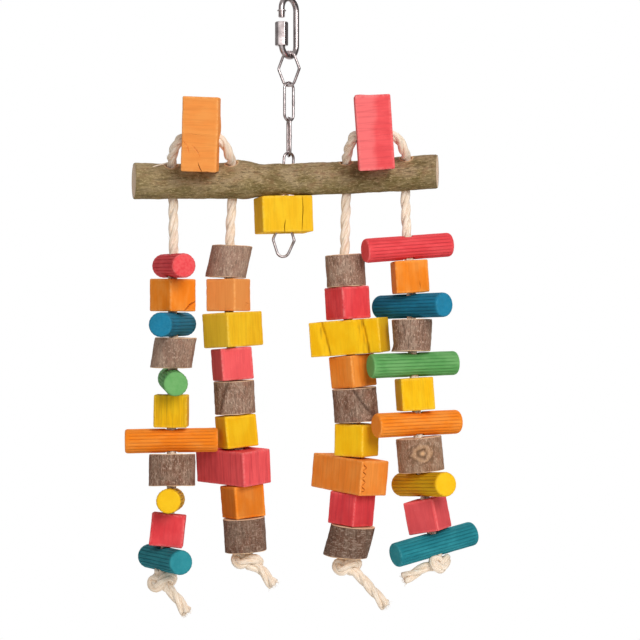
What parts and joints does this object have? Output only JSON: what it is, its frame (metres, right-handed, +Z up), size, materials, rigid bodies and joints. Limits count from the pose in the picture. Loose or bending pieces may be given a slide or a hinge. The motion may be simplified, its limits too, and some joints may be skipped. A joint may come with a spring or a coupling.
{
  "type": "bird play curtain",
  "caption": "Hanging bird toy: a natural branch on a quick link and short chain carries knotted ropes strung with dyed wooden cubes, blocks, fluted dowels and bark logs",
  "frame": {"origin": "inside top of the quick link's arch, where the curtain hangs", "axes": "+Z up, +X to the right as the picture shows it, +Y away from the viewer"},
  "size_m": [0.2299, 0.0785, 0.4012],
  "materials": {
    "steel": "polished stainless wire",
    "branch_bark": "natural bark",
    "log_bark": "natural bark with sawn end grain",
    "orange_wood": "dyed pine, matt",
    "red_wood": "dyed pine, matt",
    "yellow_wood": "dyed pine, matt",
    "blue_wood": "dyed fluted dowel, matt",
    "teal_wood": "dyed fluted dowel, matt",
    "green_wood": "dyed fluted dowel, matt",
    "rope": "twisted sisal"
  },
  "bodies": {
    "quick_link": {"quick_link_body": "steel"},
    "nut": {"quick_link_nut": "steel"},
    "link_1": {"chain_link_1": "steel"},
    "link_2": {"chain_link_2": "steel"},
    "link_3": {"chain_link_3": "steel"},
    "branch": {"branch_bar": "branch_bark", "chain_link_4": "steel", "chain_link_5": "steel", "chain_link_6": "steel", "rope_arch_left": "rope", "rope_arch_right": "rope"},
    "centre_block": {"centre_block": "yellow_wood"},
    "top_block_left": {"top_block_left": "orange_wood"},
    "top_block_right": {"top_block_right": "red_wood"},
    "string_1": {"string_1_rope": "rope"},
    "string_1_01_red_dowel": {"string_1_01_red_dowel": "red_wood"},
    "string_1_02_orange_cube": {"string_1_02_orange_cube": "orange_wood"},
    "string_1_03_blue_dowel": {"string_1_03_blue_dowel": "blue_wood"},
    "string_1_04_bark_log": {"string_1_04_bark_log": "log_bark"},
    "string_1_05_green_dowel": {"string_1_05_green_dowel": "green_wood"},
    "string_1_06_yellow_cube": {"string_1_06_yellow_cube": "yellow_wood"},
    "string_1_07_orange_dowel": {"string_1_07_orange_dowel": "orange_wood"},
    "string_1_08_bark_log": {"string_1_08_bark_log": "log_bark"},
    "string_1_09_yellow_dowel": {"string_1_09_yellow_dowel": "yellow_wood"},
    "string_1_10_red_cube": {"string_1_10_red_cube": "red_wood"},
    "string_1_11_teal_dowel": {"string_1_11_teal_dowel": "teal_wood"},
    "string_2": {"string_2_rope": "rope"},
    "string_2_01_bark_log": {"string_2_01_bark_log": "log_bark"},
    "string_2_02_orange_cube": {"string_2_02_orange_cube": "orange_wood"},
    "string_2_03_yellow_block": {"string_2_03_yellow_block": "yellow_wood"},
    "string_2_04_red_cube": {"string_2_04_red_cube": "red_wood"},
    "string_2_05_bark_log": {"string_2_05_bark_log": "log_bark"},
    "string_2_06_yellow_cube": {"string_2_06_yellow_cube": "yellow_wood"},
    "string_2_07_red_long_block": {"string_2_07_red_long_block": "red_wood"},
    "string_2_08_orange_cube": {"string_2_08_orange_cube": "orange_wood"},
    "string_2_09_bark_log": {"string_2_09_bark_log": "log_bark"},
    "string_3": {"string_3_rope": "rope"},
    "string_3_01_bark_log": {"string_3_01_bark_log": "log_bark"},
    "string_3_02_red_cube": {"string_3_02_red_cube": "red_wood"},
    "string_3_03_yellow_long_block": {"string_3_03_yellow_long_block": "yellow_wood"},
    "string_3_04_orange_cube": {"string_3_04_orange_cube": "orange_wood"},
    "string_3_05_bark_log": {"string_3_05_bark_log": "log_bark"},
    "string_3_06_yellow_cube": {"string_3_06_yellow_cube": "yellow_wood"},
    "string_3_07_orange_long_block": {"string_3_07_orange_long_block": "orange_wood"},
    "string_3_08_red_cube": {"string_3_08_red_cube": "red_wood"},
    "string_3_09_bark_log": {"string_3_09_bark_log": "log_bark"},
    "string_4": {"string_4_rope": "rope"},
    "string_4_01_red_dowel": {"string_4_01_red_dowel": "red_wood"},
    "string_4_02_orange_cube": {"string_4_02_orange_cube": "orange_wood"},
    "string_4_03_blue_dowel": {"string_4_03_blue_dowel": "blue_wood"},
    "string_4_04_bark_log": {"string_4_04_bark_log": "log_bark"},
    "string_4_05_green_dowel": {"string_4_05_green_dowel": "green_wood"},
    "string_4_06_yellow_cube": {"string_4_06_yellow_cube": "yellow_wood"},
    "string_4_07_orange_dowel": {"string_4_07_orange_dowel": "orange_wood"},
    "string_4_08_bark_log": {"string_4_08_bark_log": "log_bark"},
    "string_4_09_yellow_dowel": {"string_4_09_yellow_dowel": "yellow_wood"},
    "string_4_10_red_cube": {"string_4_10_red_cube": "red_wood"},
    "string_4_11_teal_dowel": {"string_4_11_teal_dowel": "teal_wood"}
  },
  "joints": [
    {"name": "nut_slide", "type": "slide", "parent": "quick_link", "child": "nut", "axis": [0, 0, 1], "range_m": [0, 0.0065]},
    {"name": "link_1_swing", "type": "hinge", "parent": "quick_link", "child": "link_1", "pos_m": [0, 0, -0.0357], "axis": [0.6157, 0.788, 0], "range_deg": [-25, 25]},
    {"name": "link_2_swing", "type": "hinge", "parent": "link_1", "child": "link_2", "pos_m": [0, 0, -0.0545], "axis": [0.9781, -0.2079, 0], "range_deg": [-25, 25]},
    {"name": "link_3_swing", "type": "hinge", "parent": "link_2", "child": "link_3", "pos_m": [0, 0, -0.0774], "axis": [0.7071, 0.7071, 0], "range_deg": [-25, 25]},
    {"name": "branch_swing", "type": "hinge", "parent": "link_3", "child": "branch", "pos_m": [0, 0, -0.1003], "axis": [0.225, -0.9744, 0], "range_deg": [-25, 25]},
    {"name": "centre_block_spin", "type": "hinge", "parent": "branch", "child": "centre_block", "pos_m": [-0.00356, 0, -0.13868], "axis": [-0.0349, 0, 0.9994], "continuous": true},
    {"name": "top_block_left_tilt", "type": "hinge", "parent": "branch", "child": "top_block_left", "pos_m": [-0.0553, -0.02755, -0.09193], "axis": [0.9994, 0, -0.0349], "range_deg": [-60, 5]},
    {"name": "top_block_right_tilt", "type": "hinge", "parent": "branch", "child": "top_block_right", "pos_m": [0.0546, -0.02685, -0.08975], "axis": [0.9976, 0, 0.0698], "range_deg": [-60, 1.5]},
    {"name": "string_1_swing", "type": "hinge", "parent": "branch", "child": "string_1", "pos_m": [-0.0756, 0.00256, -0.12797], "axis": [1, 0, 0], "range_deg": [-30, 0]},
    {"name": "string_1_01_red_dowel_spin", "type": "hinge", "parent": "string_1", "child": "string_1_01_red_dowel", "pos_m": [-0.07495, -0.0018, -0.17179], "axis": [0.0344, -0.0156, 0.9993], "range_deg": [-56, 50]},
    {"name": "string_1_02_orange_cube_spin", "type": "hinge", "parent": "string_1", "child": "string_1_02_orange_cube", "pos_m": [-0.0754, -0.00164, -0.19088], "axis": [0.0032, 0, 1], "continuous": true},
    {"name": "string_1_03_blue_dowel_spin", "type": "hinge", "parent": "string_1", "child": "string_1_03_blue_dowel", "pos_m": [-0.07515, -0.00164, -0.20986], "axis": [-0.019, 0, 0.9998], "range_deg": [-32, 76]},
    {"name": "string_1_04_bark_log_spin", "type": "hinge", "parent": "string_1", "child": "string_1_04_bark_log", "pos_m": [-0.075, -0.00164, -0.2282], "axis": [0.0112, -0.0001, 0.9999], "continuous": true},
    {"name": "string_1_05_green_dowel_spin", "type": "hinge", "parent": "string_1", "child": "string_1_05_green_dowel", "pos_m": [-0.07555, -0.00159, -0.24665], "axis": [0.0429, -0.0203, 0.9989], "range_deg": [-52, 62]},
    {"name": "string_1_06_yellow_cube_spin", "type": "hinge", "parent": "string_1", "child": "string_1_06_yellow_cube", "pos_m": [-0.0762, -0.00164, -0.26593], "axis": [0.0137, 0.0136, 0.9998], "continuous": true},
    {"name": "string_1_07_orange_dowel_spin", "type": "hinge", "parent": "string_1", "child": "string_1_07_orange_dowel", "pos_m": [-0.07614, -0.00211, -0.28516], "axis": [-0.0152, 0.0438, 0.9989], "range_deg": [-114, 6]},
    {"name": "string_1_08_bark_log_spin", "type": "hinge", "parent": "string_1", "child": "string_1_08_bark_log", "pos_m": [-0.0756, -0.00349, -0.30417], "axis": [-0.0087, 0.0856, 0.9963], "continuous": true},
    {"name": "string_1_09_yellow_dowel_spin", "type": "hinge", "parent": "string_1", "child": "string_1_09_yellow_dowel", "pos_m": [-0.07627, -0.00521, -0.3236], "axis": [0.0678, 0.0864, 0.9939], "continuous": true},
    {"name": "string_1_10_red_cube_spin", "type": "hinge", "parent": "string_1", "child": "string_1_10_red_cube", "pos_m": [-0.07815, -0.0068, -0.34251], "axis": [0.1024, 0.0846, 0.9911], "continuous": true},
    {"name": "string_1_11_teal_dowel_spin", "type": "hinge", "parent": "string_1", "child": "string_1_11_teal_dowel", "pos_m": [-0.0801, -0.00842, -0.36124], "axis": [0.097, 0.1028, 0.99], "continuous": true},
    {"name": "string_2_swing", "type": "hinge", "parent": "branch", "child": "string_2", "pos_m": [-0.037, 0.00279, -0.12766], "axis": [1, 0, 0], "range_deg": [0, 30]},
    {"name": "string_2_01_bark_log_spin", "type": "hinge", "parent": "string_2", "child": "string_2_01_bark_log", "pos_m": [-0.03916, 0.00717, -0.1688], "axis": [0.0413, -0.0006, 0.9991], "continuous": true},
    {"name": "string_2_02_orange_cube_spin", "type": "hinge", "parent": "string_2", "child": "string_2_02_orange_cube", "pos_m": [-0.03969, 0.00698, -0.19065], "axis": [-0.0082, 0, 1], "continuous": true},
    {"name": "string_2_03_yellow_block_spin", "type": "hinge", "parent": "string_2", "child": "string_2_03_yellow_block", "pos_m": [-0.03884, 0.00698, -0.21336], "axis": [-0.0556, 0, 0.9985], "continuous": true},
    {"name": "string_2_04_red_cube_spin", "type": "hinge", "parent": "string_2", "child": "string_2_04_red_cube", "pos_m": [-0.03724, 0.00698, -0.23568], "axis": [-0.0787, 0, 0.9969], "continuous": true},
    {"name": "string_2_05_bark_log_spin", "type": "hinge", "parent": "string_2", "child": "string_2_05_bark_log", "pos_m": [-0.03594, 0.00698, -0.25752], "axis": [-0.0517, 0, 0.9987], "continuous": true},
    {"name": "string_2_06_yellow_cube_spin", "type": "hinge", "parent": "string_2", "child": "string_2_06_yellow_cube", "pos_m": [-0.03435, 0.00698, -0.27954], "axis": [-0.0945, 0, 0.9955], "range_deg": [-24, 8]},
    {"name": "string_2_07_red_long_block_spin", "type": "hinge", "parent": "string_2", "child": "string_2_07_red_long_block", "pos_m": [-0.03219, 0.00698, -0.30253], "axis": [-0.0418, -0.0518, 0.9978], "range_deg": [-62, 12]},
    {"name": "string_2_08_orange_cube_spin", "type": "hinge", "parent": "string_2", "child": "string_2_08_orange_cube", "pos_m": [-0.03028, 0.00698, -0.32521], "axis": [-0.0755, 0, 0.9971], "continuous": true},
    {"name": "string_2_09_bark_log_spin", "type": "hinge", "parent": "string_2", "child": "string_2_09_bark_log", "pos_m": [-0.02878, 0.00698, -0.34704], "axis": [-0.0668, 0, 0.9978], "continuous": true},
    {"name": "string_3_swing", "type": "hinge", "parent": "branch", "child": "string_3", "pos_m": [0.0372, 0.00218, -0.12453], "axis": [1, 0, 0], "range_deg": [-30, 30]},
    {"name": "string_3_01_bark_log_spin", "type": "hinge", "parent": "string_3", "child": "string_3_01_bark_log", "pos_m": [0.03674, 0.00651, -0.17478], "axis": [-0.0584, 0.0012, 0.9983], "continuous": true},
    {"name": "string_3_02_red_cube_spin", "type": "hinge", "parent": "string_3", "child": "string_3_02_red_cube", "pos_m": [0.03812, 0.00638, -0.1959], "axis": [-0.0592, 0, 0.9982], "continuous": true},
    {"name": "string_3_03_yellow_long_block_spin", "type": "hinge", "parent": "string_3", "child": "string_3_03_yellow_long_block", "pos_m": [0.03957, 0.00638, -0.21816], "axis": [-0.0776, 0, 0.997], "range_deg": [-98, 0]},
    {"name": "string_3_04_orange_cube_spin", "type": "hinge", "parent": "string_3", "child": "string_3_04_orange_cube", "pos_m": [0.04165, 0.00638, -0.24038], "axis": [-0.0945, 0, 0.9955], "continuous": true},
    {"name": "string_3_05_bark_log_spin", "type": "hinge", "parent": "string_3", "child": "string_3_05_bark_log", "pos_m": [0.04353, 0.00638, -0.26234], "axis": [-0.0729, 0, 0.9973], "continuous": true},
    {"name": "string_3_06_yellow_cube_spin", "type": "hinge", "parent": "string_3", "child": "string_3_06_yellow_cube", "pos_m": [0.04414, 0.00638, -0.2853], "axis": [0.0186, 0, 0.9998], "continuous": true},
    {"name": "string_3_07_orange_long_block_spin", "type": "hinge", "parent": "string_3", "child": "string_3_07_orange_long_block", "pos_m": [0.04275, 0.00638, -0.30828], "axis": [0.0838, 0, 0.9965], "range_deg": [-78, 178]},
    {"name": "string_3_08_red_cube_spin", "type": "hinge", "parent": "string_3", "child": "string_3_08_red_cube", "pos_m": [0.04093, 0.00638, -0.33026], "axis": [0.0847, 0, 0.9964], "continuous": true},
    {"name": "string_3_09_bark_log_spin", "type": "hinge", "parent": "string_3", "child": "string_3_09_bark_log", "pos_m": [0.03912, 0.00638, -0.35115], "axis": [0.0851, 0, 0.9964], "continuous": true},
    {"name": "string_4_swing", "type": "hinge", "parent": "branch", "child": "string_4", "pos_m": [0.0758, 0.00233, -0.12254], "axis": [1, 0, 0], "range_deg": [-30, 30]},
    {"name": "string_4_01_red_dowel_spin", "type": "hinge", "parent": "string_4", "child": "string_4_01_red_dowel", "pos_m": [0.07708, -0.00204, -0.16009], "axis": [-0.0866, -0.0044, 0.9962], "range_deg": [-8, 124]},
    {"name": "string_4_02_orange_cube_spin", "type": "hinge", "parent": "string_4", "child": "string_4_02_orange_cube", "pos_m": [0.07843, -0.00187, -0.17898], "axis": [-0.0639, 0.0017, 0.998], "continuous": true},
    {"name": "string_4_03_blue_dowel_spin", "type": "hinge", "parent": "string_4", "child": "string_4_03_blue_dowel", "pos_m": [0.07959, -0.0019, -0.19793], "axis": [-0.0388, -0.0028, 0.9992], "range_deg": [-98, 0]},
    {"name": "string_4_04_bark_log_spin", "type": "hinge", "parent": "string_4", "child": "string_4_04_bark_log", "pos_m": [0.08015, -0.00246, -0.21703], "axis": [-0.0162, 0.0407, 0.999], "continuous": true},
    {"name": "string_4_05_green_dowel_spin", "type": "hinge", "parent": "string_4", "child": "string_4_05_green_dowel", "pos_m": [0.08064, -0.003, -0.2359], "axis": [-0.0341, 0.0136, 0.9993], "range_deg": [0, 118]},
    {"name": "string_4_06_yellow_cube_spin", "type": "hinge", "parent": "string_4", "child": "string_4_06_yellow_cube", "pos_m": [0.08153, -0.00328, -0.25498], "axis": [-0.0662, 0.025, 0.9975], "continuous": true},
    {"name": "string_4_07_orange_dowel_spin", "type": "hinge", "parent": "string_4", "child": "string_4_07_orange_dowel", "pos_m": [0.08319, -0.00392, -0.27412], "axis": [-0.0467, 0.0573, 0.9973], "range_deg": [-8, 106]},
    {"name": "string_4_08_bark_log_spin", "type": "hinge", "parent": "string_4", "child": "string_4_08_bark_log", "pos_m": [0.08499, -0.00451, -0.29397], "axis": [-0.0915, 0.029, 0.9954], "continuous": true},
    {"name": "string_4_09_yellow_dowel_spin", "type": "hinge", "parent": "string_4", "child": "string_4_09_yellow_dowel", "pos_m": [0.08687, -0.00527, -0.31334], "axis": [-0.0998, 0.0495, 0.9938], "range_deg": [-98, 28]},
    {"name": "string_4_10_red_cube_spin", "type": "hinge", "parent": "string_4", "child": "string_4_10_red_cube", "pos_m": [0.08962, -0.00638, -0.33289], "axis": [-0.1874, 0.063, 0.9803], "continuous": true},
    {"name": "string_4_11_teal_dowel_spin", "type": "hinge", "parent": "string_4", "child": "string_4_11_teal_dowel", "pos_m": [0.09397, -0.00756, -0.35171], "axis": [-0.2362, 0.0687, 0.9693], "continuous": true}
  ],
  "couplings": [
    {"joint": "string_4_swing", "follows": "string_3_swing", "ratio": 1}
  ]
}
